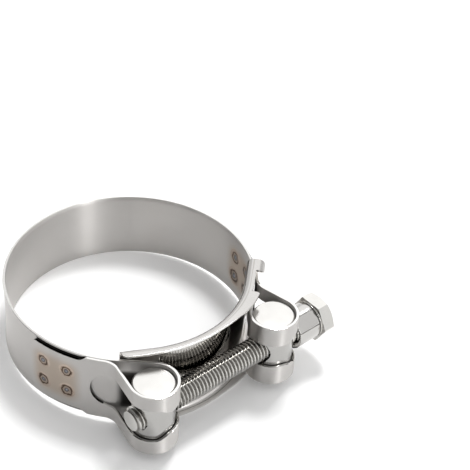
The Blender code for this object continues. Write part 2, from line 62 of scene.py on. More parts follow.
sheet = 0.8 * MM
half_sheet = sheet / 2
piece_gap = 0.3 * MM
band_width = 22.8 * MM
ring_bore_radius = 37.75 * MM
ring_radius = ring_bore_radius + half_sheet
tail_gap = 0.15 * MM
tail_radius = ring_radius + sheet + tail_gap
loop_radius = pin_diameter / 2 + piece_gap + half_sheet
loop_centre = Vector((-trunnion_x, trunnion_y))
loop_leg_lean = 12.0
tail_fillet = 6.0 * MM
tail_width = 20.0 * MM
tail_step_angle = 146.9
tail_step_length = 2.2 * MM
tail_end_angle = 176.0
tail_corner_length = 2.4 * MM
tail_corner_width = 6.0 * MM
slot_tail_angle = 145.3
slot_loop_angle = 40.0
slot_widen_from = -80.0
slot_widen_to = -125.0
slot_narrow = 4.3 * MM
slot_wide = 6.25 * MM
lip_flare = 0.35 * MM
lip_width = 1.2 * MM
lip_start_angle = 147.5
lip_full_angle = 150.5
lip_roll = 1.3
edge_rounding = 0.07 * MM
sharp_edge_angle = 55.0
band_spacing = 0.55 * MM
grain_per_metre = 10
grain_stretch = (4, 420, 1)

weld_angles = (156.1, 168.2)
weld_height = 3.85 * MM
heat_core = 1.2 * MM
heat_fade = 4.4 * MM
# Painted shade, near black: in the groove under the lip beside each tail, along the tail's edges and
# its slot, and on the inner leg where it faces the outer one.
grime_past_tail = 3.0
grime_under_tail = 0.5 * MM
clean_lip = 0.25 * MM
tail_edge_grime = 0.12 * MM
slot_edge_grime = 0.1 * MM
leg_grime_lead = 1.0 * MM
leg_grime_rise = 2.5 * MM
leg_grime_height = 8.0 * MM
leg_grime_fade = 1.5 * MM


def arc_piece(centre, radius, start, end):
    """Part of the strip's middle line. The normal points to the right of the way along it."""
    sense = math.copysign(1, end - start)

    def at(distance):
        angle = math.radians(start) + sense * distance / radius
        out = Vector((math.cos(angle), math.sin(angle)))
        return centre + radius * out, sense * out

    return radius * abs(math.radians(end - start)), at


def line_piece(start, end):
    way = (end - start).normalized()

    def at(distance):
        return start + way * distance, Vector((way.y, -way.x))

    return (end - start).length, at


def on_path(pieces, distance):
    for length, at in pieces[:-1]:
        if distance <= length:
            return at(distance)
        distance -= length
    return pieces[-1][1](distance)


def smooth_step(value):
    value = min(max(value, 0.0), 1.0)
    return value * value * (3 - 2 * value)


def quarter_round(distance, length):
    missing = 1 - min(max(distance / length, 0.0), 1.0)
    return math.sqrt(1 - missing * missing)


def corner_distances(length, facets=12):
    return [length * (1 - math.cos(math.pi / 2 * count / facets)) for count in range(facets + 1)]


def stations(pieces, spacing, features):
    """Distances along the path: its features, and even steps between them."""
    ends = [0.0]
    for length, _ in pieces:
        ends.append(ends[-1] + length)
    marks = sorted(set(features) | set(ends))
    found = [marks[0]]
    for start, end in zip(marks, marks[1:]):
        if end - start < 1e-7:
            continue
        count = max(1, math.ceil((end - start) / spacing))
        found += [start + (end - start) * step / count for step in range(1, count + 1)]
    return found


def sheet_mesh(name, rows, places, stains=None):
    """A grid of faces through rows of points. The UV map holds the place along and across the strip."""
    width = len(rows[0])
    faces = []
    for row in range(len(rows) - 1):
        for column in range(width - 1):
            corner = row * width + column
            faces.append((corner, corner + 1, corner + width + 1, corner + width))
    mesh = bpy.data.meshes.new(name)
    mesh.from_pydata([point for row in rows for point in row], [], faces)
    layer = mesh.uv_layers.new(name="strip")
    flat_places = [place for row in places for place in row]
    for loop in mesh.loops:
        layer.data[loop.index].uv = flat_places[loop.vertex_index]
    for stain, amounts in (stains or {}).items():
        layer = mesh.attributes.new(stain, "FLOAT", "POINT")
        layer.data.foreach_set("value", [value for row in amounts for value in row])
    return mesh


def add_piece(name, mesh, location):
    obj = bpy.data.objects.new(name, mesh)
    bpy.context.scene.collection.objects.link(obj)
    obj.location = location
    return obj


def mirror(obj, axes):
    modifier = obj.modifiers.new("mirror", "MIRROR")
    modifier.use_axis = axes
    modifier.merge_threshold = 1e-6


def thicken(obj, thickness, outer_material=0):
    """Sheet metal with its cut edges in the second material, and a slight round on them."""
    solid = obj.modifiers.new("sheet", "SOLIDIFY")
    solid.thickness = thickness
    solid.offset = 0
    solid.use_even_offset = True
    solid.material_offset_rim = 1
    solid.material_offset = outer_material
    rounding = obj.modifiers.new("deburred edge", "BEVEL")
    rounding.width = edge_rounding
    rounding.segments = 2
    rounding.limit_method = "ANGLE"
    rounding.angle_limit = math.radians(sharp_edge_angle)
    rounding.use_clamp_overlap = False


def finish_mesh(obj, sharp=35.0):
    """Applies the modifiers and shades the piece smooth, apart from its real edges."""
    bpy.context.view_layer.update()
    graph = bpy.context.evaluated_depsgraph_get()
    made = bpy.data.meshes.new_from_object(obj.evaluated_get(graph))
    obj.modifiers.clear()
    obj.data = made
    made.shade_smooth()
    made.set_sharp_from_angle(angle=math.radians(sharp))


def band_pieces():
    """The strip's middle line: half the ring, the inner leg, the loop, the outer leg and the tail."""
    centre = Vector((0, 0))
    to_loop = math.atan2(loop_centre.y, loop_centre.x)
    leave = to_loop - math.acos((ring_radius + loop_radius) / loop_centre.length)
    leave_way = Vector((math.cos(leave), math.sin(leave)))
    lean = math.radians(loop_leg_lean)
    leg_side = Vector((-math.cos(lean), math.sin(lean)))
    leg_way = Vector((leg_side.y, -leg_side.x))
    loop_end = math.degrees(math.atan2(leg_side.y, leg_side.x)) - 360
    leg_start = loop_centre + loop_radius * leg_side
    beside = loop_centre + (loop_radius + tail_fillet) * leg_side
    reach = tail_radius + tail_fillet
    half = beside.dot(leg_way)
    rise = -half - math.sqrt(half * half - beside.length_squared + reach * reach)
    fillet_centre = beside + rise * leg_way
    merge = math.degrees(math.atan2(fillet_centre.y, fillet_centre.x))
    fillet_start = math.degrees(math.atan2(-leg_side.y, -leg_side.x))
    ring_end = math.degrees(leave) + 360
    pieces = [
        arc_piece(centre, ring_radius, 90, ring_end),
        line_piece(ring_radius * leave_way, loop_centre - loop_radius * leave_way),
        arc_piece(loop_centre, loop_radius, ring_end - 180, loop_end),
        line_piece(leg_start, leg_start + rise * leg_way),
        arc_piece(fillet_centre, tail_fillet, fillet_start, merge + 180),
        arc_piece(centre, tail_radius, merge, -tail_end_angle),
    ]
    return pieces, ring_end, merge


def band_mesh():
    pieces, ring_end, merge = band_pieces()
    lengths = [piece[0] for piece in pieces]
    loop_begin = lengths[0] + lengths[1]
    tail_begin = sum(lengths[:5])
    end = sum(lengths)

    def on_ring(angle):
        return ring_radius * math.radians(270 - angle)

    def on_loop(angle):
        return loop_begin + loop_radius * math.radians(ring_end - 180 - angle)

    def on_tail(angle):
        return tail_begin + tail_radius * math.radians(angle + merge)

    slot_from = on_loop(slot_loop_angle)
    slot_to = on_tail(slot_tail_angle)
    widen_from = on_loop(slot_widen_from)
    widen_to = on_loop(slot_widen_to)
    step_from = on_tail(tail_step_angle)

    def slot(distance):
        if not slot_from < distance < slot_to:
            return 0.0
        widening = smooth_step((distance - widen_from) / (widen_to - widen_from))
        half = slot_narrow + (slot_wide - slot_narrow) * widening
        start = quarter_round(distance - slot_from, slot_narrow)
        return half * start * quarter_round(slot_to - distance, slot_wide)

    def half_width(distance):
        step = min(max((distance - step_from) / tail_step_length, 0.0), 1.0)
        half = band_width / 2 + (tail_width - band_width) / 2 * step
        corner = quarter_round(end - distance, tail_corner_length)
        return half - tail_corner_width * (1 - corner)

    def flare(distance):
        begin = on_ring(lip_start_angle)
        return lip_flare * smooth_step((begin - distance) / (begin - on_ring(lip_full_angle)))

    def warmth(distance, height):
        """How strongly the welding has tinted the steel, from 0 to 1."""
        nearest = []
        for place in (on_ring, on_tail):
            first, last = sorted(place(angle) for angle in weld_angles)
            beyond = max(first - distance, distance - last, 0.0)
            nearest.append(math.hypot(beyond, max(height - weld_height, 0.0)))
        return smooth_step(1 - (min(nearest) - heat_core) / heat_fade)

    def dirt(distance, height, edge):
        """Painted shade, from 0 to 1: beside each tail, on its edge, along the slot in the tail, and
        between the legs.
        """
        beside = on_ring(tail_end_angle - grime_past_tail) < distance < on_ring(tail_step_angle)
        if beside and tail_width / 2 - grime_under_tail < height < edge - clean_lip:
            return 1.0
        if distance > step_from + tail_step_length and height > edge - tail_edge_grime:
            return 1.0
        if distance > tail_begin and height < slot(distance) + slot_edge_grime:
            return 1.0
        if distance < loop_begin:
            inward = smooth_step((distance - lengths[0] + leg_grime_lead) / leg_grime_rise)
            return inward * smooth_step((leg_grime_height - height) / leg_grime_fade)
        return 0.0

    features = [on_ring(lip_start_angle), on_ring(lip_full_angle)]
    features += [step_from, step_from + tail_step_length]
    features += [slot_from + distance for distance in corner_distances(slot_narrow)]
    features += [slot_to - distance for distance in corner_distances(slot_wide)]
    features += [end - distance for distance in corner_distances(tail_corner_length)]
    rows = []
    places = []
    heat = []
    grime = []
    flat_rows = 9
    lip_rows = 6
    for distance in stations(pieces, band_spacing, features):
        point, normal = on_path(pieces, distance)
        low = slot(distance)
        high = half_width(distance)
        lip_from = high - lip_width
        row = []
        for step in range(flat_rows):
            height = low + (lip_from - low) * step / flat_rows
            row.append((point.x, point.y, height))
        for step in range(lip_rows + 1):
            share = step / lip_rows
            side = point + normal * flare(distance) * share**lip_roll
            row.append((side.x, side.y, lip_from + lip_width * share))
        rows.append(row)
        places.append([(distance * grain_per_metre, height * grain_per_metre) for _, _, height in row])
        heat.append([warmth(distance, height) for _, _, height in row])
        grime.append([dirt(distance, height, high) for _, _, height in row])
    # The first row lies exactly on the mirror's plane, so that the two halves join.
    rows[0] = [(0.0, y, z) for _, y, z in rows[0]]
    return sheet_mesh("band_strip", rows, places, {"weld_heat": heat, "edge_grime": grime})


def node(owner, kind, **settings):
    """A new node in a material or in the world."""
    made = owner.node_tree.nodes.new(kind)
    for name, value in settings.items():
        setattr(made, name, value)
    return made


def feed(owner, value, socket):
    """Gives the socket a number or colour, or links another node's output to it."""
    if isinstance(value, bpy.types.NodeSocket):
        owner.node_tree.links.new(value, socket)
    else:
        socket.default_value = value


def feed_all(owner, made, values):
    for name, value in values.items():
        feed(owner, value, made.inputs[name])


def maths(owner, operation, *values):
    made = node(owner, "ShaderNodeMath", operation=operation)
    for socket, value in zip(made.inputs, values):
        feed(owner, value, socket)
    return made.outputs["Value"]


def noise(owner, place, scale, detail, roughness=0.5):
    made = node(owner, "ShaderNodeTexNoise")
    feed_all(owner, made, {"Vector": place, "Scale": scale, "Detail": detail, "Roughness": roughness})
    return made.outputs["Fac"]


def mixed(owner, amount, low, high):
    made = node(owner, "ShaderNodeMix", data_type="RGBA")
    feed_all(owner, made, {"Factor": amount, "A": low, "B": high})
    return made.outputs["Result"]


def mottled(material, amount, colour, darker, lighter):
    """The colour, a little darker or lighter from place to place."""
    low = (*[value * darker for value in colour], 1)
    high = (*[min(1, value * lighter) for value in colour], 1)
    return mixed(material, amount, low, high)


def stained(material, colour, stains):
    """Mixes each stain or painted shade over the colour, by the attribute of its name."""
    for name, stain in stains.items():
        amount = node(material, "ShaderNodeAttribute", attribute_name=name).outputs["Fac"]
        colour = mixed(material, amount, colour, (*stain, 1))
    return colour


def relief(material, shader, height, strength, depth):
    """Marks too fine for the mesh, from a value that stands for their height."""
    bump = node(material, "ShaderNodeBump")
    feed_all(material, bump, {"Height": height, "Strength": strength, "Distance": depth})
    feed(material, bump.outputs["Normal"], shader.inputs["Normal"])


def bare_steel(name):
    """A new metal material and its shader."""
    material = bpy.data.materials.new(name)
    material.use_nodes = True
    shader = material.node_tree.nodes["Principled BSDF"]
    shader.inputs["Metallic"].default_value = 1
    return material, shader


def sheet_steel(name, colour, roughness, spread, grain, stains, polish=None, polish_share=0.8):
    """Cold rolled stainless: fine lines along the strip, slight clouding, and its stains, painted shade
    and polish.
    """
    material, shader = bare_steel(name)
    shader.inputs["Anisotropic"].default_value = spread
    shader.inputs["Anisotropic Rotation"].default_value = 0.25
    along = node(material, "ShaderNodeTangent", direction_type="UV_MAP", uv_map="strip")
    feed(material, along.outputs["Tangent"], shader.inputs["Tangent"])
    place = node(material, "ShaderNodeUVMap", uv_map="strip")
    stretch = node(material, "ShaderNodeMapping")
    feed_all(material, stretch, {"Vector": place.outputs["UV"], "Scale": grain_stretch})
    lines = noise(material, stretch.outputs["Vector"], scale=1, detail=4, roughness=0.6)
    where = node(material, "ShaderNodeTexCoord")
    clouds = noise(material, where.outputs["Object"], scale=90, detail=5)
    varied = roughness * 0.3
    shine = maths(material, "MULTIPLY_ADD", lines, varied, roughness * 0.7)
    shine = maths(material, "MULTIPLY_ADD", clouds, varied, shine)
    if polish:
        film = node(material, "ShaderNodeAttribute", attribute_name=polish).outputs["Fac"]
        kept = maths(material, "MULTIPLY_ADD", film, -polish_share, 1)
        shine = maths(material, "MULTIPLY", shine, kept)
    feed(material, shine, shader.inputs["Roughness"])
    rolled = mottled(material, clouds, colour, darker=0.95, lighter=1.05)
    feed(material, stained(material, rolled, stains), shader.inputs["Base Color"])
    relief(material, shader, lines, strength=grain, depth=0.02 * MM)
    return material


def cut_edge_steel(name, colour, stains):
    """The sheared edge of the sheet: bright, with fine marks across its thickness."""
    material, shader = bare_steel(name)
    where = node(material, "ShaderNodeTexCoord")
    marks = noise(material, where.outputs["Object"], scale=2500, detail=2)
    sheared = mottled(material, marks, colour, darker=0.92, lighter=1.06)
    feed(material, stained(material, sheared, stains), shader.inputs["Base Color"])
    feed(material, maths(material, "MULTIPLY_ADD", marks, 0.12, 0.04), shader.inputs["Roughness"])
    relief(material, shader, marks, strength=0.1, depth=0.01 * MM)
    return material


# The weld heat tint is the steel's own colour; the near black second overlay is painted shade.
band_stains = {"weld_heat": (0.50, 0.43, 0.365), "edge_grime": (0.025, 0.022, 0.02)}
heat_alone = {"weld_heat": band_stains["weld_heat"]}
rolled_finish = {"colour": (0.61, 0.593, 0.575), "roughness": 0.42, "spread": 0.95, "grain": 0.15}
band_steel = sheet_steel("band_steel", stains=band_stains, **rolled_finish)
clean_band_steel = sheet_steel("clean_band_steel", stains=heat_alone, **rolled_finish)
sheared_steel = cut_edge_steel("sheared_steel", (0.78, 0.77, 0.75), band_stains)
band_piece = add_piece("band_strip", band_mesh(), ring_centre)
# One face of the strip carries the painted shade as well as the heat tint, the other only the heat
# tint.
for steel in (clean_band_steel, sheared_steel, band_steel):
    band_piece.data.materials.append(steel)
mirror(band_piece, (True, False, True))
thicken(band_piece, sheet, outer_material=2)
finish_mesh(band_piece)
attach(band_piece, "band")
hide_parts("band")

# Spot welds. Four on each tail, pressed by round electrodes, so each leaves a shallow dish with a
# raised, burnt rim on the tail and the same mark on the inside of the ring.

weld_radius = 3.3 * MM
weld_sizes = (0.92, 0.86, 1.12, 1.0)
weld_rise = 0.07 * MM
weld_sink = 0.02 * MM
weld_rim = 0.68
weld_rim_width = 0.2
weld_dish = 0.25
weld_edge_fall = 6
weld_rings = 10
weld_spokes = 40


def weld_profile(share):
    """Height of the mark at a share of its radius: dished in the middle, highest at its rim."""
    rim = math.exp(-(((share - weld_rim) / weld_rim_width) ** 2))
    rise = weld_rise * (weld_dish + (1 - weld_dish) * rim)
    edge = share**weld_edge_fall
    return rise * (1 - edge) - weld_sink * edge


def weld_mark(mesh, from_middle, wall, side, turn, height, size):
    """One round mark on the wall of this radius, on its outside (side 1) or its inside (side -1)."""
    rings = []
    for ring in range(weld_rings + 1):
        share = ring / weld_rings
        made = []
        for spoke in range(weld_spokes if ring else 1):
            way = 2 * math.pi * spoke / weld_spokes
            along = turn + size * share * math.cos(way) / wall
            radius = wall + side * weld_profile(share)
            up = height + size * share * math.sin(way)
            vert = mesh.verts.new((radius * math.cos(along), radius * math.sin(along), up))
            vert[from_middle] = share
            made.append(vert)
        rings.append(made)
    for spoke in range(weld_spokes):
        after = (spoke + 1) % weld_spokes
        corners = [(rings[0][0], rings[1][spoke], rings[1][after])]
        for inner, outer in zip(rings[1:], rings[2:]):
            corners.append((inner[spoke], outer[spoke], outer[after], inner[after]))
        for face in corners:
            mesh.faces.new(face if side > 0 else face[::-1])


def weld_marks():
    mesh = bmesh.new()
    from_middle = mesh.verts.layers.float.new("from_middle")
    marks = 0
    for wall, side in ((ring_radius - half_sheet, -1), (tail_radius + half_sheet, 1)):
        for angle in weld_angles:
            for turn in (math.radians(-angle), math.radians(angle - 180)):
                for height in (-weld_height, weld_height):
                    size = weld_radius * weld_sizes[marks % len(weld_sizes)]
                    weld_mark(mesh, from_middle, wall, side, turn, height, size)
                    marks += 1
    made_mesh = bpy.data.meshes.new("weld_marks")
    mesh.to_mesh(made_mesh)
    mesh.free()
    made_mesh.shade_smooth()
    return made_mesh


def weld_steel():
    """Blue grey in the dish, dark brown round its rim, fading into the warm tint of the sheet."""
    material, shader = bare_steel("weld_steel")
    share = node(material, "ShaderNodeAttribute", attribute_name="from_middle").outputs["Fac"]
    where = node(material, "ShaderNodeTexCoord")
    burn = noise(material, where.outputs["Object"], scale=800, detail=4)
    colours = node(material, "ShaderNodeValToRGB")
    stops = colours.color_ramp.elements
    stops[0].position = 0.16
    stops[0].color = (0.48, 0.51, 0.57, 1)
    stops[1].position = 1.0
    stops[1].color = (0.46, 0.38, 0.32, 1)
    for position, colour in (
        (0.32, (0.22, 0.23, 0.26, 1)),
        (0.48, (0.09, 0.08, 0.08, 1)),
        (0.60, (0.36, 0.30, 0.25, 1)),
        (0.68, (0.28, 0.22, 0.18, 1)),
        (0.75, (0.05, 0.03, 0.02, 1)),
        (0.83, (0.07, 0.045, 0.03, 1)),
        (0.92, (0.33, 0.26, 0.21, 1)),
    ):
        stop = stops.new(position)
        stop.color = colour
    feed(material, maths(material, "MULTIPLY_ADD", burn, 0.5, share), colours.inputs["Fac"])
    feed(material, colours.outputs["Color"], shader.inputs["Base Color"])
    shader.inputs["Roughness"].default_value = 0.42
    relief(material, shader, burn, strength=0.4, depth=0.03 * MM)
    return material


weld_piece = add_piece("weld_marks", weld_marks(), ring_centre)
weld_piece.data.materials.append(weld_steel())
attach(weld_piece, "band")

# Bridge. A pressed plate with a flange along both edges slides inside the ring and closes it under
# the bolt. Its flange widens to a square end beside the right loop, and past a notch an ear on each
# edge folds down over the strap to keep the plate in line.

bridge_set_in = 1.45 * MM
bridge_centre_y = -0.9 * MM
bridge_outer = ring_bore_radius - bridge_set_in + bridge_centre_y
bridge_radius = bridge_outer - half_sheet
bridge_left_end = -134.0
bridge_right_end = -30.3
bridge_overhang = 3.0 * MM
bend_outer = 2.2 * MM
bend_radius = bend_outer - half_sheet
web_half = band_width / 2 + bridge_overhang - bend_outer
bridge_corner = 3.0 * MM
flange_narrow = 3.2 * MM
flange_left = 3.9 * MM
flange_left_from = -96.0
flange_left_curve = 1.5
flange_right = 5.6 * MM
flange_right_from = -86.0
notch_from = -54.0
notch_corner = 0.5 * MM
ear_from = -38.6
ear_reach = 5.5 * MM
ear_curl_radius = 1.8 * MM
ear_curl_angle = 70.0
ear_corner = 1.0 * MM
ear_flat = ear_reach - sheet - ear_curl_radius + half_sheet - bend_radius
bridge_spacing = 0.5 * MM
web_rows = 8
bend_rows = 10
flange_rows = 12
# Painted shade darkens the web for the dark reflections in it and fades out over the bend; the row
# where the bend meets the flange gets a line of painted shade for a dark reflection there.
die_line_row = web_rows + bend_rows
die_line_film = 0.7


def straight_turn(end_angle):
    """How far before its end the web leaves its arc, so that the end meets the inside of the ring."""
    way = Vector((math.cos(math.radians(end_angle)), math.sin(math.radians(end_angle))))
    across = bridge_centre_y * way.y
    limit = ring_bore_radius - piece_gap
    reach = -across + math.sqrt(across * across - bridge_centre_y**2 + limit * limit)
    return math.degrees(math.acos(bridge_outer / reach))


def bridge_section(length, ear):
    """Reach outward and height of a point, by its distance from the middle along the bent section."""
    if length <= web_half:
        return 0.0, length
    length -= web_half
    bend = bend_radius * math.pi / 2
    if length <= bend:
        angle = length / bend_radius
        return bend_radius * (1 - math.cos(angle)), web_half + bend_radius * math.sin(angle)
    length -= bend
    top = web_half + bend_radius
    if not ear or length <= ear_flat:
        return bend_radius + length, top
    angle = (length - ear_flat) / ear_curl_radius
    reach = bend_radius + ear_flat + ear_curl_radius * math.sin(angle)
    return reach, top - ear_curl_radius * (1 - math.cos(angle))


def bridge_mesh():
    centre = Vector((0, bridge_centre_y))
    left_straight = bridge_left_end + straight_turn(bridge_left_end)
    right_straight = bridge_right_end - straight_turn(bridge_right_end)
    begin = math.radians(left_straight)
    finish = math.radians(right_straight)
    left = centre + bridge_radius * Vector((math.cos(begin), math.sin(begin)))
    right = centre + bridge_radius * Vector((math.cos(finish), math.sin(finish)))
    left_length = bridge_radius * math.tan(math.radians(left_straight - bridge_left_end))
    right_length = bridge_radius * math.tan(math.radians(bridge_right_end - right_straight))
    pieces = [
        line_piece(left + Vector((math.sin(begin), -math.cos(begin))) * left_length, left),
        arc_piece(centre, bridge_radius, left_straight, right_straight),
        line_piece(right, right + Vector((-math.sin(finish), math.cos(finish))) * right_length),
    ]
    end = sum(piece[0] for piece in pieces)

    def at_angle(angle):
        return left_length + bridge_radius * math.radians(angle - left_straight)

    bend_end = web_half + bend_radius * math.pi / 2
    narrow = flange_narrow - half_sheet - bend_radius
    ear_length = ear_flat + ear_curl_radius * math.radians(ear_curl_angle)
    left_from = at_angle(flange_left_from)
    right_from = at_angle(flange_right_from)
    notch = at_angle(notch_from)
    ear_begin = at_angle(ear_from)
    middle_of_notch = (notch + ear_begin) / 2

    def flange(distance):
        if distance < left_from:
            share = ((left_from - distance) / left_from) ** flange_left_curve
            widening = (flange_left - flange_narrow) * share
            return narrow + widening * quarter_round(distance, bridge_corner)
        if right_from < distance <= notch:
            share = smooth_step((distance - right_from) / (notch - right_from))
            widening = (flange_right - flange_narrow) * share
            return narrow + widening * quarter_round(notch - distance, notch_corner)
        if distance > ear_begin:
            side = quarter_round(distance - ear_begin, ear_corner)
            side *= quarter_round(end - distance, ear_corner)
            return narrow + (ear_length - narrow) * side
        return narrow

    def end_trim(distance):
        return bridge_corner * (1 - quarter_round(distance, bridge_corner))

    features = [left_from, right_from, middle_of_notch]
    features += corner_distances(bridge_corner)
    features += [notch - distance for distance in corner_distances(notch_corner)]
    for distance in corner_distances(ear_corner):
        features += [ear_begin + distance, end - distance]
    rows = []
    places = []
    film = []
    for distance in stations(pieces, bridge_spacing, features):
        point, normal = on_path(pieces, distance)
        width = flange(distance)
        in_ear = distance > middle_of_notch
        lengths = [web_half * step / web_rows for step in range(web_rows + 1)]
        for step in range(1, bend_rows + 1):
            lengths.append(web_half + (bend_end - web_half) * step / bend_rows)
        for step in range(1, flange_rows + 1):
            lengths.append(bend_end + width * step / flange_rows)
        scale = 1 - end_trim(distance) / (bend_end + narrow)
        row = []
        for length in lengths:
            reach, height = bridge_section(length * scale, in_ear)
            spot = point + normal * reach
            row.append((spot.x, spot.y, height))
        rows.append(row)
        places.append([(distance * grain_per_metre, length * grain_per_metre) for length in lengths])
        film.append([smooth_step((bend_end - length) / (bend_end - web_half)) for length in lengths])
        film[-1][die_line_row] = die_line_film
    return sheet_mesh("bridge_plate", rows, places, {"press_film": film})


bridge_piece = add_piece("bridge_plate", bridge_mesh(), ring_centre)
# Both faces of the web carry that painted shade and are made smoother. The channel face is given a far
# brighter colour than the bore face, which on its flanges is painted light.
pressed = {"spread": 0.3, "grain": 0.06, "polish": "press_film"}
bore_side = {"colour": (0.50, 0.488, 0.475), "stains": {"press_film": (0.36, 0.348, 0.33)}}
web_side = {"colour": (0.88, 0.86, 0.84), "stains": {"press_film": (0.47, 0.455, 0.435)}}
for steel in (
    sheet_steel("bridge_steel", roughness=0.2, **pressed, **bore_side),
    sheared_steel,
    sheet_steel("lit_channel_steel", roughness=0.6, polish_share=0.93, **pressed, **web_side),
):
    bridge_piece.data.materials.append(steel)
mirror(bridge_piece, (False, False, True))
thicken(bridge_piece, sheet, outer_material=2)
finish_mesh(bridge_piece)
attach(bridge_piece, "band")
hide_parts("bridge")

# Trunnions. Two turned pins sit in the loops and are drilled across: the left one is tapped and is
# the nut, the right one is plain. Their ends are faced on a lathe, which leaves fine rings.

pin_length = nut_box[1][2] - nut_box[0][2]
pin_chamfer = 0.5 * MM
nut_bore = 7.9 * MM
plain_bore = 9.2 * MM
bore_flare = 0.35 * MM
flare_outward = bore_flare * 0.4
flare_inward = bore_flare * 0.6
mouth_share = 0.6
pin_rounding = 0.12 * MM
pin_facets = 144
drill_facets = 72


def turned(name, profile, facets, location):
    """A solid of revolution about its own Z, from (radius, height) pairs that start at the top."""
    mesh = bpy.data.meshes.new(name)
    edges = [(index, index + 1) for index in range(len(profile) - 1)]
    mesh.from_pydata([(radius, 0, height) for radius, height in profile], edges, [])
    obj = add_piece(name, mesh, location)
    screw = obj.modifiers.new("turn", "SCREW")
    screw.steps = facets
    screw.render_steps = facets
    screw.use_merge_vertices = True
    screw.merge_threshold = 1e-6
    return obj


def rounded(points, radius, steps=4):
    """The profile with each inner corner replaced by a small arc."""
    result = [points[0]]
    for before, corner, after in zip(points, points[1:], points[2:]):
        at = Vector(corner)
        back = (Vector(before) - at).normalized()
        ahead = (Vector(after) - at).normalized()
        for step in range(steps + 1):
            share = step / steps
            bend = at + back * radius * (1 - share) ** 2 + ahead * radius * share**2
            result.append(tuple(bend))
    result.append(points[-1])
    return result


def cut(obj, other, operation="DIFFERENCE"):
    modifier = obj.modifiers.new("cut", "BOOLEAN")
    modifier.operation = operation
    modifier.solver = "EXACT"
    modifier.object = other


def remove(*objects):
    for obj in objects:
        bpy.data.objects.remove(obj, do_unlink=True)


def ramp(owner, value, start, end, low=0.0, high=1.0, shape="LINEAR"):
    """The value's place between start and end, as a number between low and high."""
    made = node(owner, "ShaderNodeMapRange", interpolation_type=shape)
    limits = {"From Min": start, "From Max": end, "To Min": low, "To Max": high}
    feed_all(owner, made, {"Value": value, **limits})
    return made.outputs["Result"]


def turned_steel(name, colour, roughness, ring_scale, barrel=1.0):
    """Turned stainless: lathe rings about its own Z, fine scratches, and painted shade that darkens the
    barrel against the ends.
    """
    material, shader = bare_steel(name)
    where = node(material, "ShaderNodeTexCoord")
    rings = node(material, "ShaderNodeTexWave", wave_type="RINGS", rings_direction="Z")
    waves = {"Scale": ring_scale, "Distortion": 0.6, "Detail": 3}
    feed_all(material, rings, {"Vector": where.outputs["Object"], **waves})
    clouds = noise(material, where.outputs["Object"], scale=260, detail=6, roughness=0.65)
    facing = node(material, "ShaderNodeSeparateXYZ")
    feed(material, where.outputs["Normal"], facing.inputs["Vector"])
    faced = maths(material, "ABSOLUTE", facing.outputs["Z"])
    # Painted shade: the ends keep the colour, the barrel is darkened by the barrel shade factor.
    dulled = node(material, "ShaderNodeVectorMath", operation="SCALE")
    turned_colour = mottled(material, clouds, colour, darker=0.93, lighter=1.05)
    feed(material, turned_colour, dulled.inputs[0])
    feed(material, ramp(material, faced, start=0.3, end=0.8, low=barrel), dulled.inputs["Scale"])
    feed(material, dulled.outputs["Vector"], shader.inputs["Base Color"])
    shine = maths(material, "MULTIPLY_ADD", clouds, 0.16, roughness - 0.08)
    feed(material, shine, shader.inputs["Roughness"])
    marks = maths(material, "MULTIPLY_ADD", rings.outputs["Fac"], 0.5, clouds)
    relief(material, shader, marks, strength=0.35, depth=0.015 * MM)
    return material


def trunnion(name, centre, bore):
    radius = pin_diameter / 2
    half = pin_length / 2
    corners = [
        (0, half),
        (radius - pin_chamfer, half),
        (radius, half - pin_chamfer),
        (radius, -half + pin_chamfer),
        (radius - pin_chamfer, -half),
        (0, -half),
    ]
    pin = turned(name, rounded(corners, pin_rounding), pin_facets, centre)
    mouth = radius - (bore / 2) ** 2 / (2 * radius) * mouth_share
    drill_corners = [
        (0, radius * 2),
        (bore / 2 + radius, radius * 2),
        (bore / 2 + bore_flare, mouth + flare_outward),
        (bore / 2, mouth - flare_inward),
        (bore / 2, -mouth + flare_inward),
        (bore / 2 + bore_flare, -mouth - flare_outward),
        (bore / 2 + radius, -radius * 2),
        (0, -radius * 2),
    ]
    drill = turned(name + "_drill", drill_corners, drill_facets, centre)
    drill.rotation_euler = (0, math.radians(90), 0)
    cut(pin, drill)
    finish_mesh(pin, sharp=22.0)
    remove(drill)
    return pin


pin_colour = (0.65, 0.64, 0.62)
# The pins' barrels are darkened against their ends by painted shade.
pin_steel = turned_steel("pin_steel", pin_colour, roughness=0.18, ring_scale=700, barrel=0.68)
for pin_name, body, centre, bore in (
    ("nut_pin", "nut_trunnion", nut_centre, nut_bore),
    ("plain_pin", "plain_trunnion", plain_centre, plain_bore),
):
    pin = trunnion(pin_name, centre, bore)
    pin.data.materials.append(pin_steel)
    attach(pin, body)
    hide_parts(body)

# Spacer sleeve. A short tube rolled from strip, butted but not welded, so a fine seam runs down it.
# It passes through the slot of the right loop and takes the thrust of the bolt's head.

sleeve_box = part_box("spacer_sleeve")
sleeve_diameter = 11.9 * MM
sleeve_bore = 8.8 * MM
sleeve_length = sleeve_box[1][0] - sleeve_box[0][0]
seam_width = 0.15 * MM
seam_angle = math.radians(157.0)
sleeve_facets = 180
sleeve_rows = 8
bolt_axis = Vector((0, nut_centre.y, nut_centre.z))


def sleeve_mesh():
    radius = (sleeve_diameter + sleeve_bore) / 4
    half_gap = seam_width / 2 / radius
    heights = [sleeve_length * row / sleeve_rows for row in range(sleeve_rows + 1)]
    rows = []
    places = []
    for step in range(sleeve_facets + 1):
        angle = half_gap + (2 * math.pi - 2 * half_gap) * step / sleeve_facets
        across = radius * math.cos(angle + seam_angle)
        up = radius * math.sin(angle + seam_angle)
        rows.append([(across, up, height) for height in heights])
        along = angle * radius * grain_per_metre
        places.append([(along, height * grain_per_metre) for height in heights])
    return sheet_mesh("rolled_sleeve", rows, places)


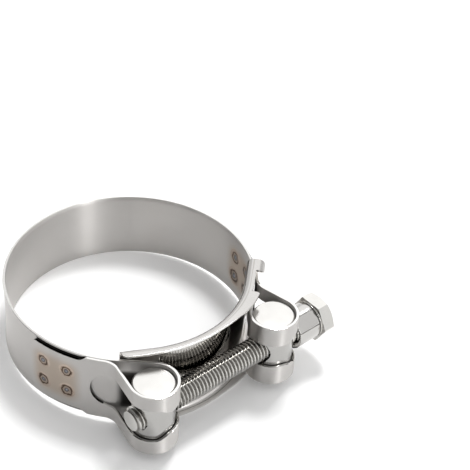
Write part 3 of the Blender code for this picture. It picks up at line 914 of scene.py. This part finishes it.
sleeve_piece = add_piece("rolled_sleeve", sleeve_mesh(), bolt_axis)
sleeve_piece.matrix_world = (
    Matrix.Translation((sleeve_box[0][0], bolt_axis.y, bolt_axis.z))
    @ Matrix.Rotation(math.radians(90), 4, "Y")
    @ Matrix.Rotation(math.radians(90), 4, "Z")
)
sleeve_finish = {"colour": (0.52, 0.51, 0.495), "roughness": 0.16, "spread": 0.5, "grain": 0.2}
for steel in (sheet_steel("sleeve_steel", stains={}, **sleeve_finish), sheared_steel):
    sleeve_piece.data.materials.append(steel)
thicken(sleeve_piece, (sleeve_diameter - sleeve_bore) / 2)
finish_mesh(sleeve_piece)
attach(sleeve_piece, "spacer_sleeve")
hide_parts("spacer_sleeve")

# Bolt. M8 coarse thread, rolled along the whole visible shank, with a forged hexagon head that has
# a turned washer face underneath and a chamfered top.

bolt_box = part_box("bolt")
bolt_diameter = 8.0 * MM
bolt_pitch = 1.25 * MM
crest_play = 0.03 * MM
thread_depth_share = 0.6134
thread_crest = bolt_diameter / 2 - crest_play
thread_root = bolt_diameter / 2 - thread_depth_share * bolt_pitch
thread_places = (0.0, 0.06, 0.13, 0.19, 0.28, 0.37, 0.46, 0.52, 0.58, 0.64, 0.70, 0.79, 0.88, 0.94)
crest_middle = 0.065
crest_half = 0.045
root_from = 0.40
flank_roundness = 0.06
bolt_length = 70.0 * MM
head_height = 5.0 * MM
head_flats = 13.0 * MM
head_corner = head_flats / 2 / math.cos(math.radians(30))
head_corner_rounding = 0.18 * MM
head_rounding = 0.1 * MM
head_chamfer_angle = math.radians(30)
washer_diameter = 12.0 * MM
washer_height = 0.4 * MM
tip_chamfer = 0.9 * MM
plain_shank = 14.5 * MM
head_plane = bolt_box[1][0] - head_height
thread_facets = 48
tip_facets = 96
head_facets = 144
# The painted shade in the roots stops this far short of the plain shank.
clean_before_shank = 0.05 * MM


def thread_section():
    """One pitch of the thread as (height, radius), with a rolled crest and a round root."""
    points = []
    for place in thread_places:
        from_crest = abs((place - crest_middle + 0.5) % 1 - 0.5)
        flank = min(max((from_crest - crest_half) / (root_from - crest_half), 0.0), 1.0)
        soft = flank - flank_roundness * math.sin(2 * math.pi * flank)
        points.append((bolt_pitch * place, thread_crest + (thread_root - thread_crest) * soft))
    return points


def threaded_rod():
    """The thread as one helical surface, longer than the bolt's at both ends, and closed."""
    section = thread_section()
    lowest = -bolt_length - 2 * bolt_pitch
    turns = math.ceil((-plain_shank + 2 * bolt_pitch - lowest) / bolt_pitch)
    total = turns * thread_facets
    rod = bmesh.new()

    def corner(step, place):
        height, radius = section[place]
        angle = 2 * math.pi * step / thread_facets
        rise = lowest + bolt_pitch * step / thread_facets + height
        return rod.verts.new((radius * math.cos(angle), radius * math.sin(angle), rise))

    grid = [[corner(step, place) for place in range(len(section))] for step in range(total)]
    last_turn = [corner(step, 0) for step in range(total, total + thread_facets + 1)]
    closing = [corner(total, place) for place in range(1, len(section))]
    starts = [line[0] for line in grid] + last_turn
    lines = [line[1:] for line in grid] + [closing]
    for step in range(total):
        here = [starts[step], *lines[step], starts[step + thread_facets]]
        there = [starts[step + 1], *lines[step + 1], starts[step + 1 + thread_facets]]
        for place in range(len(section)):
            rod.faces.new((here[place], there[place], there[place + 1], here[place + 1]))
    low = rod.verts.new((0, 0, lowest))
    high = rod.verts.new((0, 0, lowest + bolt_pitch * (turns + 1)))
    for step in range(thread_facets):
        rod.faces.new((low, starts[step + 1], starts[step]))
        rod.faces.new((high, starts[total + step], starts[total + step + 1]))
    rod.faces.new((low, starts[0], *lines[0], starts[thread_facets]))
    rod.faces.new((high, starts[total + thread_facets], *reversed(lines[total]), starts[total]))
    mesh = bpy.data.meshes.new("hex_bolt")
    rod.to_mesh(mesh)
    rod.free()
    return mesh


def hexagon_prism(location):
    prism = bmesh.new()
    size = {"radius1": head_corner, "radius2": head_corner, "depth": bolt_length}
    bmesh.ops.create_cone(prism, cap_ends=True, segments=6, **size)
    upright = []
    for edge in prism.edges:
        first, second = edge.verts
        if abs(first.co.z - second.co.z) > bolt_length / 2:
            upright.append(edge)
    rounding = {"offset": head_corner_rounding, "segments": 3, "profile": 0.5}
    bmesh.ops.bevel(prism, geom=upright, affect="EDGES", **rounding)
    mesh = bpy.data.meshes.new("hexagon")
    prism.to_mesh(mesh)
    prism.free()
    return add_piece("hexagon", mesh, location)


def bolt_steel():
    """Rolled and pickled steel, with painted shade that darkens the roots of the thread; the crests
    keep the steel's colour.
    """
    rubbed_colour = (0.66, 0.65, 0.625)
    root_colour = (0.16, 0.153, 0.142, 1)
    material = turned_steel("bolt_steel", rubbed_colour, roughness=0.10, ring_scale=500)
    shader = material.node_tree.nodes["Principled BSDF"]
    bright = shader.inputs["Base Color"].links[0].from_socket
    where = node(material, "ShaderNodeTexCoord")
    flat = node(material, "ShaderNodeVectorMath", operation="MULTIPLY")
    feed(material, where.outputs["Object"], flat.inputs[0])
    feed(material, (1, 1, 0), flat.inputs[1])
    reach = node(material, "ShaderNodeVectorMath", operation="LENGTH")
    feed(material, flat.outputs["Vector"], reach.inputs[0])
    # Painted shade: near black in the roots of the thread, none at the crests, the plain shank or the
    # head.
    rubbed = ramp(material, reach.outputs["Value"], thread_root, thread_crest)
    split = node(material, "ShaderNodeSeparateXYZ")
    feed(material, where.outputs["Object"], split.inputs["Vector"])
    from_middle = maths(material, "ADD", split.outputs["Z"], (bolt_length + plain_shank) / 2)
    away = maths(material, "ABSOLUTE", from_middle)
    half_thread = (bolt_length - plain_shank) / 2 - clean_before_shank
    clean = maths(material, "MAXIMUM", rubbed, maths(material, "GREATER_THAN", away, half_thread))
    feed(material, mixed(material, clean, root_colour, bright), shader.inputs["Base Color"])
    return material


head_at = Vector((head_plane, bolt_axis.y, bolt_axis.z))
shank_radius = bolt_diameter / 2
head_point = head_corner + piece_gap
head_top = washer_diameter / 2
head_slope = (head_point - head_top) * math.tan(head_chamfer_angle)
tip_outline = [
    (0, -plain_shank),
    (shank_radius + piece_gap, -plain_shank),
    (shank_radius + piece_gap, -bolt_length + tip_chamfer + piece_gap),
    (shank_radius - tip_chamfer, -bolt_length),
    (0, -bolt_length),
]
head_outline = [
    (0, head_height),
    (head_top, head_height),
    (head_point, head_height - head_slope),
    (head_point, washer_height),
    (washer_diameter / 2, washer_height),
    (washer_diameter / 2, 0),
    (shank_radius, 0),
    (shank_radius, -plain_shank - bolt_pitch / 2),
    (0, -plain_shank - bolt_pitch / 2),
]
tip_body = turned("tip_body", tip_outline, tip_facets, head_at)
head_body = turned("head_body", rounded(head_outline, head_rounding), head_facets, head_at)
prism = hexagon_prism(head_at)
bolt_piece = add_piece("hex_bolt", threaded_rod(), head_at)
for obj in (tip_body, head_body, prism, bolt_piece):
    obj.rotation_euler = (0, math.radians(90), 0)
cut(head_body, prism, "INTERSECT")
cut(bolt_piece, tip_body, "INTERSECT")
cut(bolt_piece, head_body, "UNION")
finish_mesh(bolt_piece, sharp=28.0)
remove(tip_body, head_body, prism)
bolt_piece.data.materials.clear()
bolt_piece.data.materials.append(bolt_steel())
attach(bolt_piece, "bolt")
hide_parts("bolt")

# Table and light. The clamp lies on the bridge's lower flange and on the far edge of the ring, so
# the table is a plain white sheet turned by the small angle between them. One soft lamp lights it,
# and a white room with a dark side and two dim cards give the steel something to mirror.

far_edge_y = ring_centre.y + ring_radius + half_sheet + lip_flare
far_edge = Vector((0, far_edge_y, ring_centre.z - band_width / 2))
near_edge_y = ring_centre.y + bridge_centre_y - bridge_outer + sheet - flange_narrow
near_edge = Vector((0, near_edge_y, 0))
table_tilt = math.atan2(far_edge.z - near_edge.z, far_edge.y - near_edge.y)
table_size = 6.0
table_glow = 0.08
mirrored_table_glow = 0.05


def white_table():
    """Matt white with a faint glow, so that it is nearly white in the picture and keeps its shadows."""
    material = bpy.data.materials.new("white_table")
    material.use_nodes = True
    shader = material.node_tree.nodes["Principled BSDF"]
    shader.inputs["Base Color"].default_value = (0.96, 0.96, 0.96, 1)
    shader.inputs["Roughness"].default_value = 0.9
    shader.inputs["Specular IOR Level"].default_value = 0.1
    shader.inputs["Emission Color"].default_value = (1, 1, 1, 1)
    rays = node(material, "ShaderNodeLightPath").outputs
    mirrored = maths(material, "MULTIPLY", rays["Is Glossy Ray"], mirrored_table_glow)
    seen = maths(material, "MAXIMUM", rays["Is Camera Ray"], rays["Is Transmission Ray"])
    glow = maths(material, "MULTIPLY_ADD", seen, table_glow, mirrored)
    feed(material, glow, shader.inputs["Emission Strength"])
    return material


table_mesh = bpy.data.meshes.new("table")
half = table_size / 2
table_corners = [(-half, -half, 0), (half, -half, 0), (half, half, 0), (-half, half, 0)]
table_mesh.from_pydata(table_corners, [], [(0, 1, 2, 3)])
table = add_piece("table", table_mesh, near_edge)
table.rotation_euler = (table_tilt, 0, 0)
table.data.materials.append(white_table())

world = bpy.data.worlds.new("studio")
bpy.context.scene.world = world
world.use_nodes = True
backdrop = world.node_tree.nodes["Background"]
backdrop.inputs["Color"].default_value = (1, 1, 1, 1)
dark_side_from = -0.12
dark_side_full = -0.48
dark_side_light = 0.3
gap_middle = 0.08
gap_dark_half = 0.03
gap_outer_half = 0.09
gap_darkness = 0.85
gap_lowest = 0.3
gap_full_height = 0.5

direction = node(world, "ShaderNodeSeparateXYZ")
feed(world, node(world, "ShaderNodeTexCoord").outputs["Generated"], direction.inputs["Vector"])
sideways = direction.outputs["X"]
dark_side = ramp(world, sideways, dark_side_full, dark_side_from, dark_side_light, 1.0, "SMOOTHSTEP")
from_gap = maths(world, "ABSOLUTE", maths(world, "SUBTRACT", direction.outputs["Y"], gap_middle))
overhead = ramp(world, direction.outputs["Z"], gap_lowest, gap_full_height, 0.0, 1.0, "SMOOTHSTEP")
gap_shade = ramp(world, from_gap, gap_dark_half, gap_outer_half, gap_darkness, 0.0, "SMOOTHSTEP")
gap_light = maths(world, "SUBTRACT", 1.0, maths(world, "MULTIPLY", gap_shade, overhead))
room = maths(world, "MULTIPLY", dark_side, gap_light)
rays = node(world, "ShaderNodeLightPath").outputs
seen = maths(world, "MAXIMUM", rays["Is Camera Ray"], rays["Is Transmission Ray"])
feed(world, maths(world, "MAXIMUM", room, seen), backdrop.inputs["Strength"])


def soft_lamp(name, place, size, power):
    """A rectangular lamp that faces the origin, under the middle of the clamp."""
    lamp = bpy.data.lights.new(name, "AREA")
    lamp.shape = "RECTANGLE"
    lamp.size = size[0]
    lamp.size_y = size[1]
    lamp.energy = power
    obj = bpy.data.objects.new(name, lamp)
    obj.location = place
    obj.rotation_euler = Vector(place).to_track_quat("Z", "Y").to_euler()
    bpy.context.scene.collection.objects.link(obj)
    return obj


soft_lamp("key_lamp", (0.428, 0.19, 1.05), size=(0.26, 0.26), power=7.2)
back_lamp = soft_lamp("back_lamp", (0.64, 0.67, 0.76), size=(0.8, 0.8), power=0.9)
front_lamp = soft_lamp("front_lamp", (0.015, -0.70, 0.40), size=(0.08, 0.5), power=1.2)
for card in (back_lamp, front_lamp):
    card.visible_diffuse = False

# Camera. A long lens looks down on the clamp from the left front. Its place, roll and focal length
# are fitted so that the ring, the loops and the bolt fall where they are in the photograph.

view_azimuth = math.radians(-43.718)
view_elevation = math.radians(39.254)
view_roll = math.radians(3.91)
view_distance = 0.475968
view_aim = Vector((0.034273, -0.00293, 0.027953))
outward = math.cos(view_elevation)
back = Vector(
    (
        math.sin(view_azimuth) * outward,
        -math.cos(view_azimuth) * outward,
        math.sin(view_elevation),
    )
)
level = Vector((math.cos(view_azimuth), math.sin(view_azimuth), 0))
upright = back.cross(level)
across = level * math.cos(view_roll) + upright * math.sin(view_roll)
upward = -level * math.sin(view_roll) + upright * math.cos(view_roll)
eye = view_aim + back * view_distance
camera_data = bpy.data.cameras.new("camera")
camera_data.lens = 115.1
camera_data.sensor_width = 36
camera_data.clip_start = 0.01
camera = bpy.data.objects.new("camera", camera_data)
camera.matrix_world = Matrix.Translation(eye) @ Matrix((across, upward, back)).transposed().to_4x4()
bpy.context.scene.collection.objects.link(camera)
bpy.context.scene.camera = camera
bpy.context.scene.view_settings.view_transform = "Standard"
